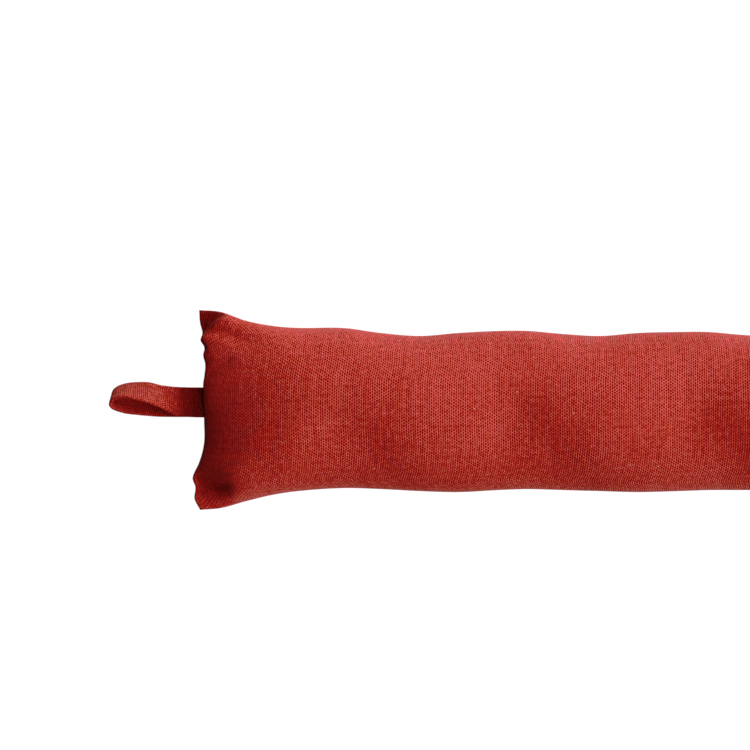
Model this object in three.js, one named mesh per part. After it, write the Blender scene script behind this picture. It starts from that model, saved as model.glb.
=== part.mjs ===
// Draught excluder: a long filled cloth tube that lies along the foot of a door.
// Each end is closed by one straight seam, so the tube runs out flat to two soft ears there,
// and a folded strap is sewn into one of the seams as a hanging loop.
// Millimetres, +Z up. The tube runs along X and lies on Z = 0, with its loop at -X.
import * as THREE from 'three';
import { ParametricGeometry } from 'three/addons/geometries/ParametricGeometry.js';
import { mergeVertices } from 'three/addons/utils/BufferGeometryUtils.js';

const { clamp, degToRad, lerp, smoothstep } = THREE.MathUtils;

// Driving dimensions
const BODY_LENGTH = 900; // from end seam to end seam
const LOOP_REACH = 94; // how far the loop stands out of its seam
const SEAM_HALF = 100; // half the flat width of the empty tube
const WIDEST_LEVEL = 41; // height of the body's widest line
const FLOOR_PRESS = 9; // how far the underside would bulge below the floor
const CLOTH = 1.5; // one layer of the cover, with its seam allowance
const STRAP_WIDTH = 30;
const STRAP_THICKNESS = 3; // the strap is a strip folded to several layers
const SEWN_GAP = 1; // between the loop's ends and the nominal line of the seam that holds them

// The ends
const FILL_RUN_MIDDLE = 135; // the filling reaches full height this far from a seam
const FILL_RUN_SIDE = 58;
const FILL_POWER = 0.54; // 0.5 is a round end, 1 a plain wedge
const FLAT_RUN = 85; // the section turns from a flat lens to an oval over this run
const LENS_WIDTH_POWER = 2.4; // of the section at the seam
const LENS_HEIGHT_POWER = 1.05;
const SEAM_RUN = 75; // how far in the seam's own waviness is felt
const LEVEL_RUN = 95; // how far in the seam's height is felt
const CRISP_RUN = 6; // creases fade out over this last stretch to the seam
const CREASE_EDGE = 0.2; // sine of the turn over which creases fade out at the tube's two sides
const THIN_COVER = 16; // where the two layers are closer than this they crease together

// Mesh steps
const STEPS_AROUND = 76;
const STEPS_ALONG = 58;
const STRAP_STEPS = 56;
const WELD = 1e-3;

// The loop's end is at -X, and the whole length with the loop is centred on the origin.
const LOOP_END_X = (LOOP_REACH - BODY_LENGTH) / 2;

// Cross sections of the body. The filling is lumpy, so the sides and the crown swell and draw in.
// at: distance from the loop's end, back: reach to +Y, front: reach to -Y, crown: height
const SECTIONS = [
  { at: 0, back: 101, front: 99, crown: 88 },
  { at: 21, back: 99, front: 97, crown: 88 },
  { at: 45, back: 90, front: 90, crown: 88 },
  { at: 69, back: 85, front: 84, crown: 88 },
  { at: 95, back: 83, front: 80, crown: 89 },
  { at: 140, back: 83, front: 77, crown: 90.5 },
  { at: 178, back: 78, front: 78, crown: 92 },
  { at: 217, back: 75, front: 80, crown: 93 },
  { at: 255, back: 78, front: 81, crown: 91 },
  { at: 295, back: 80, front: 79, crown: 88.5 },
  { at: 325, back: 80, front: 78, crown: 89 },
  { at: 360, back: 77, front: 79, crown: 91 },
  { at: 397, back: 75, front: 80, crown: 93 },
  { at: 435, back: 78, front: 81, crown: 91 },
  { at: 475, back: 79, front: 80, crown: 88.5 },
  { at: 505, back: 79, front: 79, crown: 89 },
  { at: 540, back: 76, front: 79, crown: 91 },
  { at: 577, back: 75, front: 79, crown: 93 },
  { at: 625, back: 80, front: 80, crown: 90 },
  { at: 655, back: 80, front: 78, crown: 88.5 },
  { at: 700, back: 78, front: 78, crown: 90 },
  { at: 745, back: 77, front: 79, crown: 92 },
  { at: 790, back: 81, front: 80, crown: 91 },
  { at: 830, back: 84, front: 84, crown: 90 },
  { at: 858, back: 88, front: 89, crown: 89 },
  { at: 882, back: 95, front: 95, crown: 88 },
  { at: 900, back: 99, front: 98, crown: 88 },
];

// The seam that holds the loop. It puckers where the thread draws it in, and the tips of both ears turn up.
// across: place along the seam, out: how far it stands out past the body's nominal end, up: height
const LOOP_SEAM = [
  { across: -100, out: 3, up: 38 },
  { across: -89, out: 9, up: 34 },
  { across: -78, out: 8.5, up: 28 },
  { across: -68, out: 11.5, up: 26 },
  { across: -53, out: 5, up: 29 },
  { across: -40, out: 1, up: 30 },
  { across: -28, out: -0.8, up: 32 },
  { across: -9, out: -0.5, up: 33 },
  { across: 26, out: -0.5, up: 33 },
  { across: 35, out: -2, up: 33 },
  { across: 46, out: -3, up: 32 },
  { across: 55, out: -1, up: 31 },
  { across: 63, out: -2, up: 28 },
  { across: 70, out: 2.5, up: 24 },
  { across: 77, out: 1.5, up: 20 },
  { across: 88, out: 4, up: 27 },
  { across: 100, out: 4, up: 37 },
];

// The plain far seam, in the same columns.
const FAR_SEAM = [
  { across: -100, out: 0, up: 15 },
  { across: -84, out: 2, up: 19 },
  { across: -66, out: -2, up: 26 },
  { across: -40, out: -5, up: 30 },
  { across: -14, out: -7, up: 33 },
  { across: 15, out: -6, up: 33 },
  { across: 38, out: -7, up: 31 },
  { across: 64, out: -3, up: 26 },
  { across: 83, out: 1, up: 20 },
  { across: 100, out: -1, up: 16 },
];

// Ears that the filling doesn't reach into, each closed off by a fold.
// byLoop and side: which corner, run and width: where the fold meets the side edge and the seam,
// ramp: the run over which the ear rises to the body (0 is flat), full: how many times as far from
// the tip the filling is full, fold: how much fuller than the rest the fold is, stand: how far it stands up
const EARS = [
  { byLoop: true, side: 1, run: 28, width: 30, ramp: 0, full: 1.15, fold: 0.1, stand: 20 },
  { byLoop: true, side: -1, run: 84, width: 30, ramp: 42, full: 1.7, fold: 0.05, stand: 0 },
  { byLoop: false, side: 1, run: 20, width: 22, ramp: 0, full: 1.3, fold: 0.2, stand: 6 },
  { byLoop: false, side: -1, run: 22, width: 20, ramp: 0, full: 1.3, fold: 0.2, stand: 6 },
];
const EAR_EMPTY = 0.92; // share of the way to the fold that stays flat
const EAR_FOLD_PLACE = 1.2;
const EAR_FOLD_REACH = 0.45; // towards the ear's tip
const EAR_FOLD_RUN = 1.8; // towards the body

// Creases of the upper panel along straight lines in plan.
// at: distance from the loop's end and y: place across, of both ends; left and right: reach to each
// side of the line, rise: height of a ridge, or below zero the depth of a trough
const CREASES = [
  { what: 'fold beside the back ear', at: [27, 1], y: [93, 71], left: 10, right: 5, rise: 3 },
  { what: 'tuck above the front ear', at: [-8, 22], y: [-70, -75], left: 10, right: 5, rise: -3 },
  { what: 'ridge of the front ear', at: [28, 35], y: [-66, -79], left: 30, right: 13, rise: 7 },
  { what: 'tuck at the loop', at: [2, 26], y: [34, 50], left: 6, right: 6, rise: -1.5 },
  { what: 'first sag of the filling', at: [135, 190], y: [-12, -80], left: 26, right: 42, rise: -3.5 },
  { what: 'second sag of the filling', at: [312, 370], y: [-12, -80], left: 28, right: 44, rise: -4 },
  { what: 'third sag of the filling', at: [492, 550], y: [-12, -80], left: 28, right: 44, rise: -4 },
  { what: 'fourth sag of the filling', at: [672, 726], y: [-12, -80], left: 28, right: 44, rise: -4 },
  { what: 'fold beside the far back ear', at: [880, 896], y: [88, 66], left: 7, right: 7, rise: -5 },
  { what: 'fold beside the far front ear', at: [874, 897], y: [-86, -62], left: 7, right: 7, rise: -5 },
];

// The strap from its upper root out to the tip and back to its lower root. It drops from the seam,
// and then its two runs part and turn onto their edges.
// out: distance from the seam, y and up: the middle of its width, lean: degrees that its width leans back
const STRAP_RUN = [
  { out: SEWN_GAP, y: 8.5, up: 34.8, lean: 3 },
  { out: 3, y: 8.5, up: 33, lean: 3 },
  { out: 12, y: 8.5, up: 22.5, lean: 4 },
  { out: 24, y: 9, up: 15, lean: 10 },
  { out: 34, y: 11, up: 17, lean: 28 },
  { out: 44, y: 14.3, up: 21.5, lean: 43 },
  { out: 58, y: 18.6, up: 24, lean: 49 },
  { out: 73, y: 20.6, up: 23, lean: 60 },
  { out: 84, y: 19.6, up: 21, lean: 65 },
  { out: 91.5, y: 16.3, up: 19, lean: 67 },
  { out: LOOP_REACH, y: 11.5, up: 17, lean: 66 },
  { out: 90, y: 8.5, up: 15.4, lean: 61 },
  { out: 80, y: 7, up: 13.4, lean: 52 },
  { out: 66, y: 6.4, up: 12, lean: 45 },
  { out: 52, y: 6.8, up: 9.6, lean: 33 },
  { out: 38, y: 7.8, up: 6.8, lean: 17 },
  { out: 26, y: 8.3, up: 7.6, lean: 6 },
  { out: 12, y: 8.5, up: 17.6, lean: 3 },
  { out: 3, y: 8.5, up: 28.4, lean: 3 },
  { out: SEWN_GAP, y: 8.5, up: 30.2, lean: 3 },
];

// A smooth line through one column of a table, read at any value of its key column.
function columnReader(rows, key, column) {
  const slopes = rows.map((row, i) => {
    const before = rows[Math.max(i - 1, 0)];
    const after = rows[Math.min(i + 1, rows.length - 1)];
    return (after[column] - before[column]) / (after[key] - before[key]);
  });
  return (value) => {
    const next = rows.findIndex((row) => row[key] > value);
    const i = next < 0 ? rows.length - 2 : Math.max(next - 1, 0);
    const span = rows[i + 1][key] - rows[i][key];
    const t = clamp((value - rows[i][key]) / span, 0, 1);
    const eased = t * t * (3 - 2 * t);
    const leaving = t * (1 - t) * (1 - t) * span * slopes[i];
    const arriving = t * t * (t - 1) * span * slopes[i + 1];
    return lerp(rows[i][column], rows[i + 1][column], eased) + leaving + arriving;
  };
}

function tableReader(rows, key) {
  const columns = Object.keys(rows[0]).filter((column) => column !== key);
  return Object.fromEntries(columns.map((column) => [column, columnReader(rows, key, column)]));
}

const section = tableReader(SECTIONS, 'at');
const loopSeam = tableReader(LOOP_SEAM, 'across');
const farSeam = tableReader(FAR_SEAM, 'across');

// How far the creases lift the upper panel at a place in plan.
function creaseRise(at, y) {
  return CREASES.reduce((sum, crease) => {
    const place = new THREE.Vector2(at - crease.at[0], y - crease.y[0]);
    const run = new THREE.Vector2(crease.at[1] - crease.at[0], crease.y[1] - crease.y[0]);
    const length = run.length();
    const ahead = place.dot(run) / length;
    const beside = run.cross(place) / length;
    const aside = beside / (beside > 0 ? crease.left : crease.right);
    const pastEnd = (ahead - clamp(ahead, 0, length)) / Math.min(crease.left, crease.right);
    return sum + crease.rise * Math.exp(-aside * aside - pastEnd * pastEnd);
  }, 0);
}

// The share of the filling at a place in the ears, none in the flat corner, and how far it stands up.
function earShape(byLoop, inset, across) {
  const ear = EARS.find((row) => row.byLoop === byLoop && row.side * across > 0);
  if (!ear) return { filled: 1, raised: 0 };
  const corner = inset / ear.run + (SEAM_HALF * (1 - Math.abs(across))) / ear.width;
  const past = corner - EAR_FOLD_PLACE;
  const behind = Math.exp(-((past / (past < 0 ? EAR_FOLD_REACH : EAR_FOLD_RUN)) ** 2));
  const risen = ear.ramp > 0 ? smoothstep(inset, 0, ear.ramp) : 0;
  const empty = (1 - smoothstep(corner, EAR_EMPTY, ear.full)) * (1 - risen);
  return { filled: (1 - empty) * (1 + ear.fold * behind), raised: ear.stand * behind };
}

// A point of the cover. u goes once around the tube, from its back edge over the crown,
// and v goes along it with steps that shorten towards both seams.
function coverPoint(u, v, target) {
  const at = (BODY_LENGTH / 2) * (1 - Math.cos(Math.PI * v));
  const byLoop = at < BODY_LENGTH / 2;
  const inset = byLoop ? at : BODY_LENGTH - at;
  const seam = byLoop ? loopSeam : farSeam;
  const upper = u <= 0.5;
  const angle = 2 * Math.PI * (upper ? u : 1 - u);

  // The section: even steps across a flat lens at the seam, an oval further in.
  const flat = 1 - smoothstep(inset, 0, FLAT_RUN);
  const across = lerp(Math.cos(angle), 1 - (2 * angle) / Math.PI, flat);
  const widthPower = lerp(2, LENS_WIDTH_POWER, flat);
  const heightPower = lerp(0.5, LENS_HEIGHT_POWER, flat);
  const bulge = Math.max(1 - Math.abs(across) ** widthPower, 0) ** heightPower;
  const unfilled = 1 - Math.min(inset / lerp(FILL_RUN_MIDDLE, FILL_RUN_SIDE, across * across), 1);
  const ear = earShape(byLoop, inset, across);
  const swell = (1 - unfilled * unfilled) ** FILL_POWER * bulge * ear.filled;
  const crisp = smoothstep(inset, 0, CRISP_RUN);
  const cloth = CLOTH * Math.sqrt(Math.sin(angle)) * crisp;

  const seamLevel = seam.up(across * SEAM_HALF);
  const level = lerp(seamLevel, WIDEST_LEVEL, smoothstep(inset, 0, LEVEL_RUN)) + ear.raised * crisp;
  const out = seam.out(across * SEAM_HALF) * (1 - smoothstep(inset, 0, SEAM_RUN));
  const shifted = byLoop ? at - out : at + out;
  const y = across * (across > 0 ? section.back(at) : section.front(at));

  const top = level + (section.crown(at) - level) * swell + cloth;
  const bottom = Math.max(level - (level + FLOOR_PRESS) * swell - cloth, 0);
  const together = clamp(1 - (top - bottom) / THIN_COVER, 0, 1);
  const share = crisp * Math.min(Math.sin(angle) / CREASE_EDGE, 1) * (upper ? 1 : together);
  const z = Math.max((upper ? top : bottom) + creaseRise(shifted, y) * share, 0);
  target.set(LOOP_END_X + shifted, y, z);
}

// The filled cover, one closed skin that comes together along both end seams.
function coverGeometry() {
  const skin = new ParametricGeometry(coverPoint, STEPS_AROUND, STEPS_ALONG);
  skin.deleteAttribute('normal');
  skin.deleteAttribute('uv');
  return mergeVertices(skin, WELD);
}

// The strap's flat section, with softened edges: across its width and through its thickness.
function strapSection() {
  const edge = STRAP_WIDTH / 2;
  const shoulder = edge - STRAP_THICKNESS / 3;
  const half = STRAP_THICKNESS / 2;
  const face = [-shoulder, -shoulder / 2, 0, shoulder / 2, shoulder];
  return [
    ...face.map((width) => [width, half]),
    [edge, 0],
    ...face.toReversed().map((width) => [width, -half]),
    [-edge, 0],
  ];
}

// The strap swept from its upper root out to the tip and back to its lower root.
function loopGeometry() {
  const middles = STRAP_RUN.map(({ out, y, up }) => new THREE.Vector3(LOOP_END_X - out, y, up));
  const path = new THREE.CatmullRomCurve3(middles, false, 'catmullrom', 0.5);
  const { lean } = tableReader(STRAP_RUN.map((row, place) => ({ place, lean: row.lean })), 'place');
  const ring = strapSection();

  const position = [];
  for (let step = 0; step <= STRAP_STEPS; step += 1) {
    const middle = path.getPointAt(step / STRAP_STEPS);
    const heading = path.getTangentAt(step / STRAP_STEPS);
    const turn = degToRad(lean(path.getUtoTmapping(step / STRAP_STEPS) * (middles.length - 1)));
    const widthWay = new THREE.Vector3(0, Math.cos(turn), -Math.sin(turn));
    widthWay.projectOnPlane(heading).normalize();
    const depthWay = new THREE.Vector3().crossVectors(widthWay, heading);
    for (const [width, depth] of ring) {
      const point = middle.clone().addScaledVector(widthWay, width).addScaledVector(depthWay, depth);
      position.push(...point.toArray());
    }
  }

  const index = [];
  const count = ring.length;
  for (let step = 0; step < STRAP_STEPS; step += 1) {
    for (let i = 0; i < count; i += 1) {
      const a = step * count + i;
      const b = step * count + ((i + 1) % count);
      index.push(a, b, a + count, b, b + count, a + count);
    }
  }
  const cap = THREE.ShapeUtils.triangulateShape(ring.map(([x, y]) => new THREE.Vector2(x, y)), []);
  const lastRing = STRAP_STEPS * count;
  for (const [a, b, c] of cap) {
    index.push(a, b, c);
    index.push(lastRing + a, lastRing + c, lastRing + b);
  }
  const strap = new THREE.BufferGeometry();
  strap.setAttribute('position', new THREE.Float32BufferAttribute(position, 3));
  strap.setIndex(index);
  return strap;
}

const brickRedCloth = new THREE.MeshStandardMaterial({ color: 0xb23a2e, roughness: 0.95, metalness: 0 });
const strapCloth = new THREE.MeshStandardMaterial({ color: 0xa8352a, roughness: 0.95, metalness: 0 });

const cover = new THREE.Mesh(coverGeometry(), brickRedCloth);
cover.name = 'cover';
const hangingLoop = new THREE.Mesh(loopGeometry(), strapCloth);
hangingLoop.name = 'hanging_loop';

const draughtExcluder = new THREE.Group();
draughtExcluder.add(cover, hangingLoop);

export default draughtExcluder;
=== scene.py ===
# Draught excluder: a long filled tube of coarse brick-red cloth that lies along the foot of a door.
# Each end is closed by one straight seam, and a folded strap in one of the seams is its hanging loop.
from collections import namedtuple

import bmesh
import bpy
import numpy as np
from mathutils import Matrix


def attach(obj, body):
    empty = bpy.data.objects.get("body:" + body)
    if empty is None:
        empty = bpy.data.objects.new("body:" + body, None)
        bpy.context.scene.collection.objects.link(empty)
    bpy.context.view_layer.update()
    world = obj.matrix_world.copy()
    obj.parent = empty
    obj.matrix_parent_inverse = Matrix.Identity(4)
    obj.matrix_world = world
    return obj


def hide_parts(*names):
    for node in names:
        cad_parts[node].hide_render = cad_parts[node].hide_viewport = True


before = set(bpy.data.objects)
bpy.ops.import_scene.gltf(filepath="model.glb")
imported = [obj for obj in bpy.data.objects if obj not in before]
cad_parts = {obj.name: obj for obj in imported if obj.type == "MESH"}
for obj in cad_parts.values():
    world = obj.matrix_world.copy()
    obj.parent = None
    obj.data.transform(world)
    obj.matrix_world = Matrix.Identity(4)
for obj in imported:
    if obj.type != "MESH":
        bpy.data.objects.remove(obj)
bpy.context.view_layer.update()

# Driving sizes, in millimetres
MM = 0.001
BODY_LENGTH = 900  # from end seam to end seam
LOOP_REACH = 94  # how far the loop stands out of its seam
SEAM_HALF = 100  # half the flat width of the empty tube
GIRTH = 4 * SEAM_HALF
WIDEST_LEVEL = 41  # height of the body's widest line
FLOOR_PRESS = 9  # how far the underside would bulge below the floor
STRAP_WIDTH = 30
STRAP_THICKNESS = 3
SEWN_IN = 3  # how far the strap runs on between the layers of the seam
WEFT_PITCH = 2.12  # from thread to thread along the tube
WARP_THREADS = 280  # threads around the tube
LOOP_END_X = (LOOP_REACH - BODY_LENGTH) / 2

# The ends
FILL_RUN_MIDDLE = 135  # the filling reaches full height this far from a seam
FILL_RUN_SIDE = 58
FILL_POWER = 0.54
FLAT_RUN = 85  # the section turns from a flat lens to an oval over this run
LENS_WIDTH_POWER = 2.4
LENS_HEIGHT_POWER = 1.05
SEAM_RUN = 75  # how far in the seam's own waviness is felt
LEVEL_RUN = 95  # how far in the seam's height is felt
SEAM_EDGE = 1.5  # half the thickness of the rolled seam
SEAM_ROLL = 2.2  # the seam's edge is rounded over this run
CRISP_RUN = 6  # creases fade out over this last stretch to the seam
CREASE_EDGE = 0.2  # sine of the turn over which creases fade out at the tube's two sides
THIN_COVER = 16  # where the two layers are closer than this they crease together

# View and light, in metres
VIEW_WIDTH = 0.75
VIEW_MIDDLE = (-0.231, 0.036)
VIEW_LEVEL = 0.04
CAMERA_DISTANCE = 2.2
KEY_LIGHT = 1.8
FILL_LIGHT = 0.03
RIGHT_START, RIGHT_FULL = -0.1, 0.4  # share of the way to the right where the light starts and is full
BACK_GAIN = 0.65  # how much stronger the light is from the back than from the middle
SIDES_GAIN = 0.5  # how much stronger it is from the back and from the front alike
FLOOR_HALF = 60
FLOOR_LEVEL = -0.0004
FLOOR_PAINT = 0.08
FLOOR_GLOW = 0.85

# Tone of the picture: light that comes in, and what it is shown as
TONE_POINTS = [
    (0.013, 0.0035),
    (0.027, 0.0075),
    (0.040, 0.016),
    (0.048, 0.030),
    (0.0585, 0.057),
    (0.075, 0.077),
    (0.600, 0.620),
    (0.860, 1.000),
]

# Mesh steps
STEPS_AROUND = 192
STEPS_ALONG = 320
END_CROWDING = 0.8
STRAP_STEPS = 180
STRAP_SIDE_STEPS = 16
STRAP_EDGE_STEPS = 6
LINE_FINENESS = 40  # points that measure each step of the strap's line
WELD = 1e-6

# The weave: threads wander, and the shade of the cloth swings with each thing that is uneven in it
WANDER_SCALE = 45
WANDER_REACH = 0.0016
CROSSING_SHARE = 0.36
COLUMN_SHARE = 0.58
OPENNESS = 0.78
OPENNESS_SWING = 0.7
MIDDLE_SHADE = 0.55
WEFT_YARN_SWING = 0.36
WARP_YARN_SWING = 0.3
SLUB_SWING = 0.6
GRAIN_SWING = 0.35
MOTTLE_SWING = 0.2

# Pale flecks of lint: places for them in each metre, their reach, and the share of places without one
FLECK_PLACES = 75.0
FLECK_REACH = 0.05
FLECK_MISSING = 0.8
FLECK_STRENGTH = 0.7
FLECK_COLOUR = (0.72, 0.40, 0.33, 1)

# Colours of the cloth from the gaps between the threads to their tops
COVER_TONES = [
    (0.0, (0.18, 0.014, 0.010)),
    (0.35, (0.36, 0.034, 0.027)),
    (0.62, (0.52, 0.060, 0.051)),
    (1.0, (0.74, 0.12, 0.108)),
]
# The strap's tones are the cover's with painted shade: they are darkened to stand in for the shade that
# falls on the loop
STRAP_PAINTED_SHADE = 0.82  # painted shade: the cover's tones darkened for the shade on the loop
STRAP_PAINTED_SHADE_TONES = [(place, tuple(STRAP_PAINTED_SHADE * part for part in colour)) for place, colour in COVER_TONES]

# Cross sections of the body, at a distance from the loop's end: reach to +Y, to -Y, and height
SECTION_COLUMNS = ("at", "back", "front", "crown")
SECTIONS = [
    (0, 101, 99, 88),
    (21, 99, 97, 88),
    (45, 90, 90, 88),
    (69, 85, 84, 88),
    (95, 83, 80, 89),
    (140, 83, 77, 90.5),
    (178, 78, 78, 92),
    (217, 75, 80, 93),
    (255, 78, 81, 91),
    (295, 80, 79, 88.5),
    (325, 80, 78, 89),
    (360, 77, 79, 91),
    (397, 75, 80, 93),
    (435, 78, 81, 91),
    (475, 79, 80, 88.5),
    (505, 79, 79, 89),
    (540, 76, 79, 91),
    (577, 75, 79, 93),
    (625, 80, 80, 90),
    (655, 80, 78, 88.5),
    (700, 78, 78, 90),
    (745, 77, 79, 92),
    (790, 81, 80, 91),
    (830, 84, 84, 90),
    (858, 88, 89, 89),
    (882, 95, 95, 88),
    (900, 99, 98, 88),
]

# The two end seams, at a place across: how far each stands out past the body's nominal end, and its height
SEAM_COLUMNS = ("across", "out", "up")
LOOP_SEAM = [
    (-100, 3, 38),
    (-89, 9, 34),
    (-78, 8.5, 28),
    (-68, 11.5, 26),
    (-53, 5, 29),
    (-40, 1, 30),
    (-28, -0.8, 32),
    (-9, -0.5, 33),
    (26, -0.5, 33),
    (35, -2, 33),
    (46, -3, 32),
    (55, -1, 31),
    (63, -2, 28),
    (70, 2.5, 24),
    (77, 1.5, 20),
    (88, 4, 27),
    (100, 4, 37),
]
FAR_SEAM = [
    (-100, 0, 15),
    (-84, 2, 19),
    (-66, -2, 26),
    (-40, -5, 30),
    (-14, -7, 33),
    (15, -6, 33),
    (38, -7, 31),
    (64, -3, 26),
    (83, 1, 20),
    (100, -1, 16),
]

# Ears that the filling doesn't reach into: which end and side, where the fold that closes each one off
# meets the side edge and the seam, over which run the ear rises to the body (0 is flat), how many times as
# far from the tip the filling is full, how much fuller than the rest the fold is, and how far it stands up
Ear = namedtuple("Ear", "by_loop side run width ramp full fold stand")
EARS = [
    Ear(True, 1, 28, 30, 0, 1.15, 0.1, 20),
    Ear(True, -1, 84, 30, 42, 1.7, 0.05, 0),
    Ear(False, 1, 20, 22, 0, 1.3, 0.2, 6),
    Ear(False, -1, 22, 20, 0, 1.3, 0.2, 6),
]
EAR_EMPTY = 0.92  # share of the way to the fold that stays flat
EAR_FOLD_PLACE = 1.2
EAR_FOLD_REACH = 0.45  # towards the ear's tip
EAR_FOLD_RUN = 1.8  # towards the body

# Creases of the upper panel along straight lines in plan. start and end: distance from the loop's end
# and place across. left and right: reach to each side of the line. rise: height, or depth below zero.
# lean: how far the crest is pushed over to the left.
Crease = namedtuple("Crease", "what start end left right rise lean")
CREASES = [
    Crease("fold beside the back ear", (27, 93), (1, 71), 10, 5, 3, -4),
    Crease("tuck above the front ear", (-8, -70), (22, -75), 10, 5, -3, 0),
    Crease("ridge of the front ear", (28, -66), (35, -79), 30, 13, 7, 0),
    Crease("tuck at the loop", (2, 34), (26, 50), 6, 6, -1.5, 0),
    Crease("first sag of the filling", (135, -12), (190, -80), 26, 42, -3.5, 0),
    Crease("second sag of the filling", (312, -12), (370, -80), 28, 44, -4, 0),
    Crease("third sag of the filling", (492, -12), (550, -80), 28, 44, -4, 0),
    Crease("fourth sag of the filling", (672, -12), (726, -80), 28, 44, -4, 0),
    Crease("fold beside the far back ear", (880, 88), (896, 66), 7, 7, -5, 0),
    Crease("fold beside the far front ear", (874, -86), (897, -62), 7, 7, -5, 0),
]

# The strap from its upper root out to the tip and back to its lower root: the middle of its width,
# out from the seam, across and up, and how far its width leans back in degrees
StrapPlace = namedtuple("StrapPlace", "out across up lean")
STRAP_RUN = [
    StrapPlace(-SEWN_IN, 8.5, 36, 3),
    StrapPlace(2, 8.5, 33.7, 3),
    StrapPlace(12, 8.5, 22.5, 4),
    StrapPlace(24, 9, 15, 10),
    StrapPlace(34, 11, 17, 28),
    StrapPlace(44, 14.3, 21.5, 43),
    StrapPlace(58, 18.6, 24, 49),
    StrapPlace(73, 20.6, 23, 60),
    StrapPlace(84, 19.6, 21, 65),
    StrapPlace(91.5, 16.3, 19, 67),
    StrapPlace(LOOP_REACH, 11.5, 17, 66),
    StrapPlace(90, 8.5, 15.4, 61),
    StrapPlace(80, 7, 13.4, 52),
    StrapPlace(66, 6.4, 12, 45),
    StrapPlace(52, 6.8, 9.6, 33),
    StrapPlace(38, 7.8, 6.8, 17),
    StrapPlace(26, 8.3, 7.6, 6),
    StrapPlace(12, 8.5, 17.6, 3),
    StrapPlace(2, 8.5, 29.2, 3),
    StrapPlace(-SEWN_IN, 8.5, 31.8, 3),
]


def lerp(start, end, share):
    return start + (end - start) * share


def smoothstep(value, start, end):
    share = np.clip((value - start) / (end - start), 0, 1)
    return share * share * (3 - 2 * share)


def smooth_column(keys, values):
    """A smooth curve through one column of a table."""
    slopes = np.gradient(values, keys, edge_order=1)
    slopes[1:-1] = (values[2:] - values[:-2]) / (keys[2:] - keys[:-2])

    def read(place):
        i = np.clip(np.searchsorted(keys, place, side="right") - 1, 0, len(keys) - 2)
        span = keys[i + 1] - keys[i]
        share = np.clip((place - keys[i]) / span, 0, 1)
        leaving = share * (1 - share) ** 2 * span * slopes[i]
        arriving = share**2 * (share - 1) * span * slopes[i + 1]
        return lerp(values[i], values[i + 1], share**2 * (3 - 2 * share)) + leaving + arriving

    return read


def smooth_table(columns, rows):
    """The table's columns as curves, read at the place that its first column gives."""
    table = np.array(rows, float)
    return {name: smooth_column(table[:, 0], table[:, i]) for i, name in enumerate(columns) if i}


def crease_moves(at, y):
    """How far the creases lift the upper panel and push it sideways, as three arrays."""
    rise_sum, push_at, push_y = np.zeros_like(at), np.zeros_like(at), np.zeros_like(at)
    for crease in CREASES:
        from_at, from_y = at - crease.start[0], y - crease.start[1]
        run_at, run_y = crease.end[0] - crease.start[0], crease.end[1] - crease.start[1]
        length = np.hypot(run_at, run_y)
        ahead = (from_at * run_at + from_y * run_y) / length
        beside = (from_y * run_at - from_at * run_y) / length
        reach = np.where(beside > 0, crease.left, crease.right)
        past_end = (ahead - np.clip(ahead, 0, length)) / min(crease.left, crease.right)
        swell = np.exp(-((beside / reach) ** 2) - past_end**2)
        rise_sum += crease.rise * swell
        push_at -= crease.lean * swell * run_y / length
        push_y += crease.lean * swell * run_at / length
    return rise_sum, push_at, push_y


def ear_shape(by_loop, inset, across):
    """The share of the filling in the ears, none at the tip and a full fold behind it, and their rise."""
    share, rise = np.ones_like(inset), np.zeros_like(inset)
    for ear in EARS:
        corner = inset / ear.run + SEAM_HALF * (1 - ear.side * across) / ear.width
        past = corner - EAR_FOLD_PLACE
        behind = np.exp(-((past / np.where(past < 0, EAR_FOLD_REACH, EAR_FOLD_RUN)) ** 2))
        empty = 1 - smoothstep(corner, EAR_EMPTY, ear.full)
        if ear.ramp:
            empty *= 1 - smoothstep(inset, 0, ear.ramp)
        here = (by_loop == ear.by_loop) & (ear.side * across > 0)
        share = np.where(here, (1 - empty) * (1 + ear.fold * behind), share)
        rise = np.where(here, ear.stand * behind, rise)
    return share, rise


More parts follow.
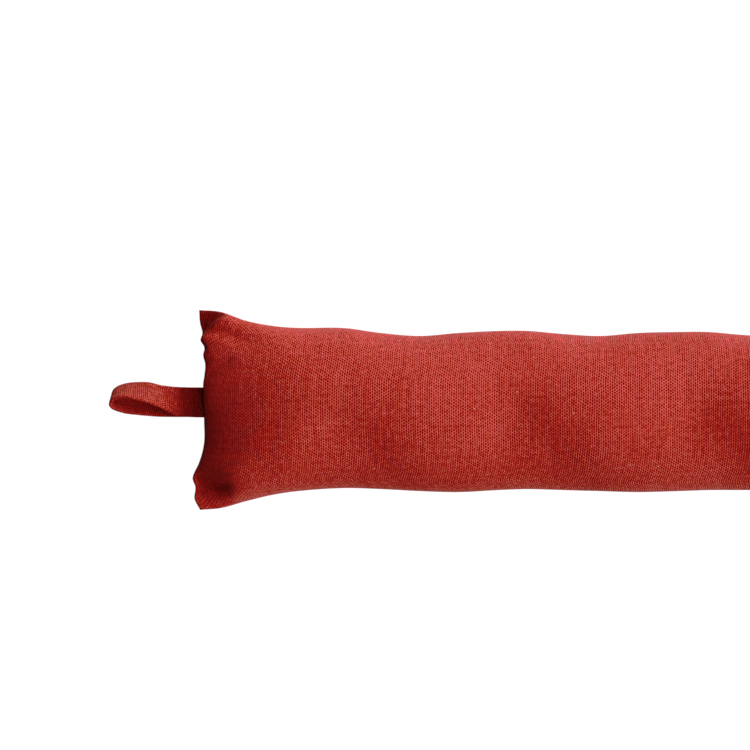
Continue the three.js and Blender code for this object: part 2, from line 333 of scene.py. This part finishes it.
def cover_points(at, around, plain=False):
    """Points of the cover, in millimetres, from distances along the tube and shares of a turn around it.

    The plain cover has no ears and no creases, and the threads of the cloth run as they do on it.
    """
    section = smooth_table(SECTION_COLUMNS, SECTIONS)
    loop_seam = smooth_table(SEAM_COLUMNS, LOOP_SEAM)
    far_seam = smooth_table(SEAM_COLUMNS, FAR_SEAM)
    by_loop = at < BODY_LENGTH / 2
    inset = np.where(by_loop, at, BODY_LENGTH - at)
    upper = around <= 0.5
    angle = 2 * np.pi * np.where(upper, around, 1 - around)

    # A flat lens at the seam, an oval further in
    flat = 1 - smoothstep(inset, 0, FLAT_RUN)
    across = lerp(np.cos(angle), 1 - 2 * angle / np.pi, flat)
    width_power = lerp(2, LENS_WIDTH_POWER, flat)
    height_power = lerp(0.5, LENS_HEIGHT_POWER, flat)
    bulge = np.maximum(1 - np.abs(across) ** width_power, 0) ** height_power
    unfilled = 1 - np.minimum(inset / lerp(FILL_RUN_MIDDLE, FILL_RUN_SIDE, across**2), 1)
    ear_fill, ear_rise = (1, 0) if plain else ear_shape(by_loop, inset, across)
    swell = (1 - unfilled**2) ** FILL_POWER * bulge * ear_fill
    crisp = smoothstep(inset, 0, CRISP_RUN)
    edge = SEAM_EDGE * np.sin(angle) ** 0.5 * np.sqrt(1 - (1 - np.minimum(inset / SEAM_ROLL, 1)) ** 2)

    place = across * SEAM_HALF
    seam_level = np.where(by_loop, loop_seam["up"](place), far_seam["up"](place))
    seam_out = np.where(by_loop, -loop_seam["out"](place), far_seam["out"](place))
    level = lerp(seam_level, WIDEST_LEVEL, smoothstep(inset, 0, LEVEL_RUN)) + ear_rise
    along = at + seam_out * (1 - smoothstep(inset, 0, SEAM_RUN))
    y = across * np.where(across > 0, section["back"](at), section["front"](at))
    top = level + (section["crown"](at) - level) * swell + edge
    bottom = np.maximum(level - (level + FLOOR_PRESS) * swell - edge, 0)

    rise, push_at, push_y = crease_moves(along, y)
    together = np.clip(1 - (top - bottom) / THIN_COVER, 0, 1)
    share = crisp * np.minimum(np.sin(angle) / CREASE_EDGE, 1) * np.where(upper, 1, together) * (not plain)
    z = np.maximum(np.where(upper, top, bottom) + rise * share, 0)
    return np.stack([LOOP_END_X + along + push_at * share, y + push_y * share, z], axis=-1)


def tube_mesh(name, points, plain, cloth_length, cloth_girth):
    """A closed tube of quads. Its UV is the place on the flat cloth in metres, as on the plain tube."""
    rows, columns = points.shape[:2]
    steps_along = np.linalg.norm(np.diff(plain, axis=0), axis=2)
    ahead = np.vstack([np.zeros(columns), np.cumsum(steps_along, axis=0)])
    ahead *= cloth_length / ahead[-1]
    steps_around = np.linalg.norm(np.roll(plain, -1, axis=1) - plain, axis=2)
    turned = np.hstack([np.zeros((rows, 1)), np.cumsum(steps_around, axis=1)])
    turned *= cloth_girth / turned[:, -1:]
    cloth = np.stack([np.hstack([ahead, ahead[:, :1]]), turned], axis=-1) * MM

    row, column = np.meshgrid(np.arange(rows - 1), np.arange(columns), indexing="ij")
    corners = [(row, column), (row, column + 1), (row + 1, column + 1), (row + 1, column)]
    quads = np.stack([r * columns + c % columns for r, c in corners], axis=-1).reshape(-1, 4)
    places = np.stack([r * (columns + 1) + c for r, c in corners], axis=-1).ravel()

    mesh = bpy.data.meshes.new(name)
    mesh.from_pydata((points * MM).reshape(-1, 3).tolist(), [], quads.tolist())
    uv = mesh.uv_layers.new(name="cloth")
    uv.data.foreach_set("uv", cloth.reshape(-1, 2)[places].astype(np.float32).ravel())
    return mesh


def finished_piece(name, mesh, material):
    """Closes a mesh's ends, turns its faces outwards and puts it in the scene."""
    work = bmesh.new()
    work.from_mesh(mesh)
    bmesh.ops.remove_doubles(work, verts=work.verts, dist=WELD)
    bmesh.ops.holes_fill(work, edges=[edge for edge in work.edges if edge.is_boundary])
    bmesh.ops.recalc_face_normals(work, faces=work.faces)
    work.to_mesh(mesh)
    work.free()
    mesh.shade_smooth()
    mesh.materials.append(material)
    piece = bpy.data.objects.new(name, mesh)
    bpy.context.scene.collection.objects.link(piece)
    return piece


def make_cover(material):
    step = np.linspace(0, 1, STEPS_ALONG + 1)[:, None]
    at = BODY_LENGTH * (step - END_CROWDING * np.sin(2 * np.pi * step) / (2 * np.pi))
    around = np.arange(STEPS_AROUND)[None, :] / STEPS_AROUND
    at, around = np.broadcast_arrays(at, around)
    points = cover_points(at, around)
    plain = cover_points(at, around, plain=True)
    mesh = tube_mesh("cloth_cover", points, plain, BODY_LENGTH, GIRTH)
    return finished_piece("cloth_cover", mesh, material)


def strap_section():
    """The strap's flat section with round edges: places across its width and through its thickness."""
    half = STRAP_THICKNESS / 2
    face = np.linspace(-1, 1, STRAP_SIDE_STEPS) * (STRAP_WIDTH / 2 - half)
    turn = np.radians(np.linspace(90, -90, STRAP_EDGE_STEPS + 1)[1:-1])
    rounding = half * np.cos(turn)
    width = np.concatenate([face, face[-1] + rounding, face[::-1], face[0] - rounding])
    depth = np.concatenate([
        np.full(STRAP_SIDE_STEPS, half),
        half * np.sin(turn),
        np.full(STRAP_SIDE_STEPS, -half),
        -half * np.sin(turn),
    ])
    return width, depth


def even_steps(line, count):
    """A smooth line through points, cut into equal steps."""
    knots = np.arange(len(line), dtype=float)
    fine = np.linspace(0, len(line) - 1, LINE_FINENESS * count)
    dense = np.stack([smooth_column(knots, line[:, i])(fine) for i in range(line.shape[1])], axis=1)
    reach = np.concatenate([[0], np.cumsum(np.linalg.norm(np.diff(dense[:, :3], axis=0), axis=1))])
    stops = np.linspace(0, reach[-1], count + 1)
    return np.stack([np.interp(stops, reach, dense[:, i]) for i in range(line.shape[1])], axis=1), reach[-1]


def make_loop(material):
    line, length = even_steps(np.array(STRAP_RUN, float), STRAP_STEPS)
    run = StrapPlace(*line.T)
    middle = np.stack([LOOP_END_X - run.out, run.across, run.up], axis=-1)
    lean = np.radians(run.lean)
    heading = np.gradient(middle, axis=0)
    heading /= np.linalg.norm(heading, axis=1, keepdims=True)
    width_way = np.stack([np.zeros_like(lean), np.cos(lean), -np.sin(lean)], axis=-1)
    width_way -= heading * np.sum(heading * width_way, axis=1, keepdims=True)
    width_way /= np.linalg.norm(width_way, axis=1, keepdims=True)
    depth_way = np.cross(width_way, heading)

    width, depth = strap_section()
    points = (
        middle[:, None, :]
        + width[None, :, None] * width_way[:, None, :]
        + depth[None, :, None] * depth_way[:, None, :]
    )
    girth = 2 * (STRAP_WIDTH + STRAP_THICKNESS)
    mesh = tube_mesh("strap_loop", points, points, length, girth)
    return finished_piece("strap_loop", mesh, material), length


class ShaderTree:
    """Adds nodes to a node tree and joins them up."""

    def __init__(self, tree):
        self.tree = tree

    def add(self, kind, inputs=(), **settings):
        node = self.tree.nodes.new(kind)
        for name, value in settings.items():
            setattr(node, name, value)
        for name, value in dict(inputs).items():
            self.feed(node.inputs[name], value)
        return node

    def feed(self, socket, value):
        if isinstance(value, bpy.types.NodeSocket):
            self.tree.links.new(value, socket)
        else:
            socket.default_value = value

    def math(self, operation, first, second=0.0):
        return self.add("ShaderNodeMath", {0: first, 1: second}, operation=operation).outputs[0]

    def vector_math(self, operation, first, others):
        return self.add("ShaderNodeVectorMath", {0: first, **others}, operation=operation).outputs[0]

    def noise(self, vector, scale, detail=2.0):
        inputs = {"Vector": vector, "Scale": scale, "Detail": detail}
        return self.add("ShaderNodeTexNoise", inputs).outputs

    def vector(self, x, y):
        return self.add("ShaderNodeCombineXYZ", {"X": x, "Y": y}).outputs[0]

    def about_zero(self, value, size):
        """A value from 0 to 1, as a swing of that size about zero."""
        return self.math("MULTIPLY", self.math("SUBTRACT", value, 0.5), size)


def new_material(name):
    """An empty material, its node tree and its shader."""
    material = bpy.data.materials.new(name)
    material.use_nodes = True
    return material, ShaderTree(material.node_tree), material.node_tree.nodes["Principled BSDF"]


def weave_cloth(name, tones):
    """Coarse plain weave: light weft threads over darker warp, with uneven yarn and a few pale flecks."""
    material, cloth, shader = new_material(name)
    flat = cloth.add("ShaderNodeUVMap", uv_map="cloth").outputs[0]
    wander = cloth.vector_math("SUBTRACT", cloth.noise(flat, WANDER_SCALE)["Color"], {1: (0.5, 0.5, 0.5)})
    wander = cloth.vector_math("SCALE", wander, {"Scale": WANDER_REACH})
    wandered = cloth.vector_math("ADD", flat, {1: wander})
    place = cloth.add("ShaderNodeSeparateXYZ", {0: wandered}).outputs

    weft = cloth.math("DIVIDE", place["X"], WEFT_PITCH * MM)
    warp = cloth.math("DIVIDE", place["Y"], GIRTH * MM / WARP_THREADS)
    weft_wave = cloth.math("SINE", cloth.math("MULTIPLY", weft, np.pi))
    warp_wave = cloth.math("SINE", cloth.math("MULTIPLY", warp, np.pi))
    crossing = cloth.math("MULTIPLY", weft_wave, warp_wave)
    column = cloth.math("MULTIPLY", weft_wave, weft_wave)

    weft_yarn = cloth.noise(cloth.vector(weft, cloth.math("MULTIPLY", warp, 0.03)), 0.9)["Fac"]
    warp_yarn = cloth.noise(cloth.vector(cloth.math("MULTIPLY", weft, 0.04), warp), 0.9)["Fac"]
    openness = cloth.math("ADD", OPENNESS, cloth.about_zero(cloth.noise(flat, 22)["Fac"], OPENNESS_SWING))
    grain = cloth.noise(flat, 1400)["Fac"]
    slub = cloth.noise(cloth.vector(place["X"], place["Y"]), 260, 1.0)["Fac"]
    mottle = cloth.noise(flat, 14)["Fac"]

    relief = cloth.math("MULTIPLY", crossing, CROSSING_SHARE)
    relief = cloth.math("SUBTRACT", relief, cloth.about_zero(column, COLUMN_SHARE))
    relief = cloth.math("MULTIPLY", relief, openness)
    shade = cloth.math("ADD", relief, MIDDLE_SHADE)
    unevenness = [
        (weft_yarn, WEFT_YARN_SWING),
        (warp_yarn, WARP_YARN_SWING),
        (slub, SLUB_SWING),
        (grain, GRAIN_SWING),
        (mottle, MOTTLE_SWING),
    ]
    for uneven, swing in unevenness:
        shade = cloth.math("ADD", shade, cloth.about_zero(uneven, swing))

    ramp = cloth.add("ShaderNodeValToRGB", {"Fac": shade})
    stops = ramp.color_ramp.elements
    while len(stops) < len(tones):
        stops.new(0.5)
    for stop, (position, colour) in zip(stops, tones):
        stop.position = position
        stop.color = (*colour, 1)

    fleck_cells = cloth.add("ShaderNodeTexVoronoi", {"Vector": flat, "Scale": FLECK_PLACES}, feature="F1")
    close = cloth.math("LESS_THAN", fleck_cells.outputs["Distance"], FLECK_REACH)
    chosen = cloth.add("ShaderNodeSeparateColor", {0: fleck_cells.outputs["Color"]}).outputs[0]
    fleck = cloth.math("MULTIPLY", close, cloth.math("GREATER_THAN", chosen, FLECK_MISSING))
    mix = cloth.add("ShaderNodeMix", data_type="RGBA")
    colour_in = [socket for socket in mix.inputs if socket.type == "RGBA"]
    colour_out = next(socket for socket in mix.outputs if socket.type == "RGBA")
    cloth.feed(mix.inputs["Factor"], cloth.math("MULTIPLY", fleck, FLECK_STRENGTH))
    cloth.feed(colour_in[0], ramp.outputs["Color"])
    cloth.feed(colour_in[1], FLECK_COLOUR)

    bump = cloth.add("ShaderNodeBump", {"Strength": 0.7, "Distance": 0.0006, "Height": shade})
    cloth.feed(shader.inputs["Base Color"], colour_out)
    cloth.feed(shader.inputs["Normal"], bump.outputs[0])
    shader.inputs["Roughness"].default_value = 0.92
    shader.inputs["Specular IOR Level"].default_value = 0.1
    shader.inputs["Sheen Weight"].default_value = 0.06
    shader.inputs["Sheen Roughness"].default_value = 0.5
    shader.inputs["Sheen Tint"].default_value = (1, 0.6, 0.5, 1)
    return material


def plain_floor():
    turns = [(-1, -1), (1, -1), (1, 1), (-1, 1)]
    corners = [(x * FLOOR_HALF, y * FLOOR_HALF, FLOOR_LEVEL) for x, y in turns]
    mesh = bpy.data.meshes.new("floor")
    mesh.from_pydata(corners, [], [(0, 1, 2, 3)])
    paint, _, shader = new_material("pale_floor")
    shader.inputs["Base Color"].default_value = (FLOOR_PAINT, FLOOR_PAINT, FLOOR_PAINT, 1)
    shader.inputs["Roughness"].default_value = 0.9
    shader.inputs["Emission Color"].default_value = (1, 1, 1, 1)
    shader.inputs["Emission Strength"].default_value = FLOOR_GLOW
    mesh.materials.append(paint)
    floor = bpy.data.objects.new("floor", mesh)
    bpy.context.scene.collection.objects.link(floor)
    floor.visible_diffuse = False


def studio_light():
    """Soft light from the whole right-hand side, strongest from the back, and a faint fill elsewhere."""
    world = bpy.data.worlds.new("studio")
    world.use_nodes = True
    sky = ShaderTree(world.node_tree)
    way = sky.add("ShaderNodeTexCoord").outputs["Generated"]
    way = sky.add("ShaderNodeSeparateXYZ", {0: way}).outputs
    reach = {"Value": way["X"], "From Min": RIGHT_START, "From Max": RIGHT_FULL}
    strengths = {"To Min": FILL_LIGHT, "To Max": KEY_LIGHT}
    spread = sky.add("ShaderNodeMapRange", {**reach, **strengths}, interpolation_type="SMOOTHSTEP")
    sides = sky.math("MULTIPLY", sky.math("MULTIPLY", way["Y"], way["Y"]), SIDES_GAIN)
    gain = sky.math("ADD", sky.math("ADD", sky.math("MULTIPLY", way["Y"], BACK_GAIN), sides), 1)
    background = world.node_tree.nodes["Background"]
    sky.feed(background.inputs["Color"], (1, 1, 1, 1))
    sky.feed(background.inputs["Strength"], sky.math("MULTIPLY", spread.outputs[0], gain))
    bpy.context.scene.world = world


def photo_camera():
    scene = bpy.context.scene
    camera = bpy.data.cameras.new("camera")
    camera.lens = camera.sensor_width * CAMERA_DISTANCE / VIEW_WIDTH
    eye = bpy.data.objects.new("camera", camera)
    eye.location = (*VIEW_MIDDLE, VIEW_LEVEL + CAMERA_DISTANCE)
    scene.collection.objects.link(eye)
    scene.camera = eye
    scene.view_settings.view_transform = "Standard"
    scene.view_settings.use_curve_mapping = True
    tone = scene.view_settings.curve_mapping
    for light_in, shown in TONE_POINTS:
        tone.curves[3].points.new(light_in, shown)
    for point in tone.curves[3].points:
        point.handle_type = "VECTOR"
    tone.update()


cover_cloth = weave_cloth("cover_cloth", COVER_TONES)
strap_cloth = weave_cloth("strap_cloth", STRAP_PAINTED_SHADE_TONES)
cover = make_cover(cover_cloth)
loop, strap_length = make_loop(strap_cloth)

for piece, node, slot in ((cover, "cover", "cover_cloth"), (loop, "hanging_loop", "strap_cloth")):
    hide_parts(node)
    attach(piece, "root")

plain_floor()
studio_light()
photo_camera()
